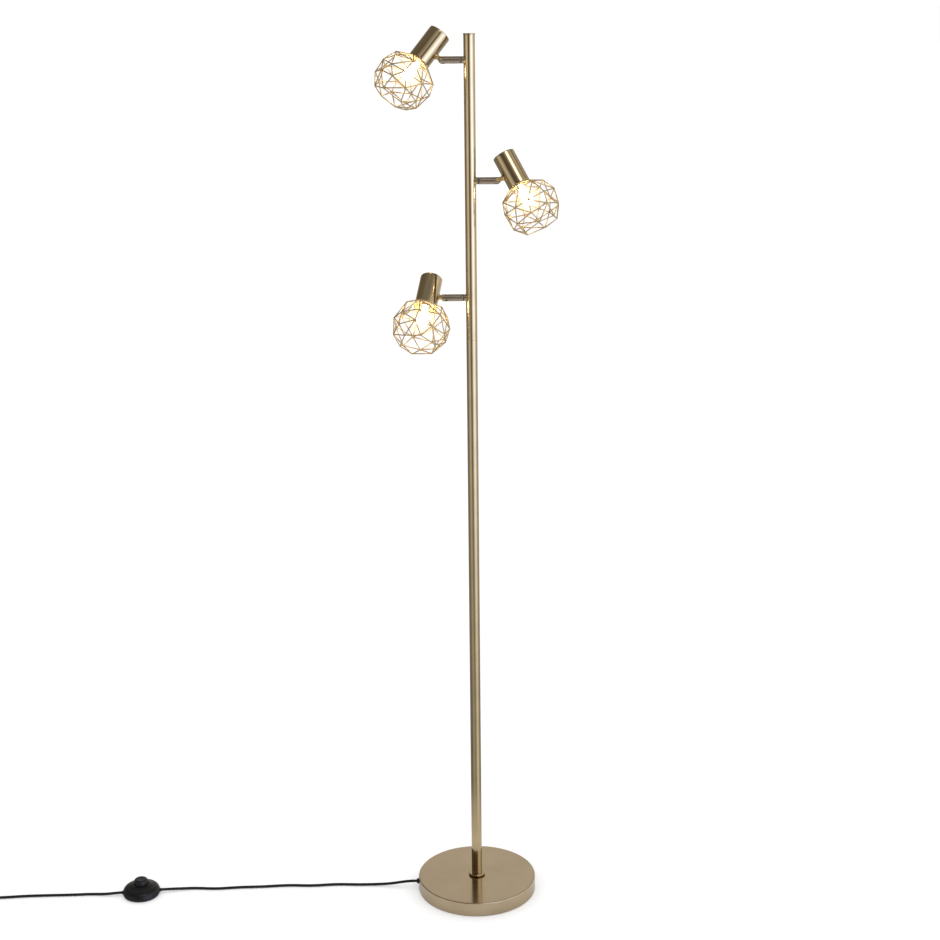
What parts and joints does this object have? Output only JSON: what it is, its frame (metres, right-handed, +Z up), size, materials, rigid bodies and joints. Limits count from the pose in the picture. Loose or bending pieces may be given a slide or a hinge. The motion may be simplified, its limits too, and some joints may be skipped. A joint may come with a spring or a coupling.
{
  "type": "wire cage floor lamp",
  "caption": "Slim pole floor lamp with swivelling spot heads in welded wire cages, a round base and a foot switch on its cord.",
  "frame": {"origin": "bottom centre of the lamp, on the floor under the middle of the base", "axes": "+Z up the pole, the first and third arm along -X and the second along +X, the cord leaves the base along -X"},
  "size_m": [1.1763, 0.2154, 1.5522],
  "materials": {
    "satin_brass": "satin",
    "base_finish": "satin",
    "cage_wire": "satin",
    "zinc_steel": "satin",
    "cement": "matte",
    "pad_rubber": "matte",
    "black_plastic": "satin",
    "dark_nylon": "matte",
    "white_plastic": "matte",
    "cord_black": "satin",
    "lampholder_cream": "satin",
    "bulb_cap_metal": "satin",
    "bulb_opal": "satin",
    "plug_pin_metal": "polished"
  },
  "bodies": {
    "stand": {"base_pad": "pad_rubber", "base_weight": "cement", "base_cover": "base_finish", "base_washer": "zinc_steel", "base_nut": "zinc_steel", "base_threaded_rod": "zinc_steel", "terminal_block": "white_plastic", "foot_collar": "satin_brass", "pole_lower": "satin_brass", "pole_middle": "satin_brass", "pole_upper": "satin_brass", "pole_joiners": "zinc_steel", "pole_foot_insert": "zinc_steel", "pole_top_cap": "satin_brass", "arm_nipples": "zinc_steel", "arm_saddles": "satin_brass", "arm_friction_rings": "dark_nylon", "arm_ring_nuts": "zinc_steel", "cord_gland": "black_plastic", "cord_in_base": "cord_black", "cord_base_to_switch": "cord_black", "switch_bottom": "black_plastic", "switch_top": "black_plastic", "switch_bushings": "black_plastic", "switch_block": "dark_nylon", "switch_screws": "zinc_steel", "cord_switch_to_coil": "cord_black", "cord_coil": "cord_black", "plug_body": "black_plastic", "plug_pins": "plug_pin_metal"},
    "foot_button": {"switch_button": "black_plastic"},
    "arm_1": {"arm_tube_1": "satin_brass", "arm_clevis_1": "satin_brass", "tilt_screw_1": "satin_brass"},
    "head_1": {"holder_tongue_1": "satin_brass", "holder_1": "satin_brass", "lampholder_1": "lampholder_cream", "bulb_cap_1": "bulb_cap_metal", "bulb_globe_1": "bulb_opal", "cage_1": "cage_wire"},
    "arm_2": {"arm_tube_2": "satin_brass", "arm_clevis_2": "satin_brass", "tilt_screw_2": "satin_brass"},
    "head_2": {"holder_tongue_2": "satin_brass", "holder_2": "satin_brass", "lampholder_2": "lampholder_cream", "bulb_cap_2": "bulb_cap_metal", "bulb_globe_2": "bulb_opal", "cage_2": "cage_wire"},
    "arm_3": {"arm_tube_3": "satin_brass", "arm_clevis_3": "satin_brass", "tilt_screw_3": "satin_brass"},
    "head_3": {"holder_tongue_3": "satin_brass", "holder_3": "satin_brass", "lampholder_3": "lampholder_cream", "bulb_cap_3": "bulb_cap_metal", "bulb_globe_3": "bulb_opal", "cage_3": "cage_wire"}
  },
  "joints": [
    {"name": "arm_1_swivel", "type": "hinge", "parent": "stand", "child": "arm_1", "pos_m": [0, 0, 1.498], "axis": [1, 0, 0], "range_deg": [-149, 191]},
    {"name": "head_1_tilt", "type": "hinge", "parent": "arm_1", "child": "head_1", "pos_m": [-0.0455, 0, 1.498], "axis": [0, 0.9336, -0.3584], "range_deg": [-49, 43]},
    {"name": "arm_2_swivel", "type": "hinge", "parent": "stand", "child": "arm_2", "pos_m": [0, 0, 1.303], "axis": [1, 0, 0], "range_deg": [-148, 192]},
    {"name": "head_2_tilt", "type": "hinge", "parent": "arm_2", "child": "head_2", "pos_m": [0.0455, 0, 1.303], "axis": [0, -0.9272, 0.3746], "range_deg": [-39, 53]},
    {"name": "arm_3_swivel", "type": "hinge", "parent": "stand", "child": "arm_3", "pos_m": [0, 0, 1.108], "axis": [1, 0, 0], "range_deg": [-126, 214]},
    {"name": "head_3_tilt", "type": "hinge", "parent": "arm_3", "child": "head_3", "pos_m": [-0.0455, 0, 1.108], "axis": [0, 0.7193, -0.6947], "range_deg": [-22, 70]},
    {"name": "foot_button_press", "type": "slide", "parent": "stand", "child": "foot_button", "axis": [0, 0, -1], "range_m": [0, 0.003], "stiffness_N_per_m": 600, "springref_m": -0.003}
  ]
}
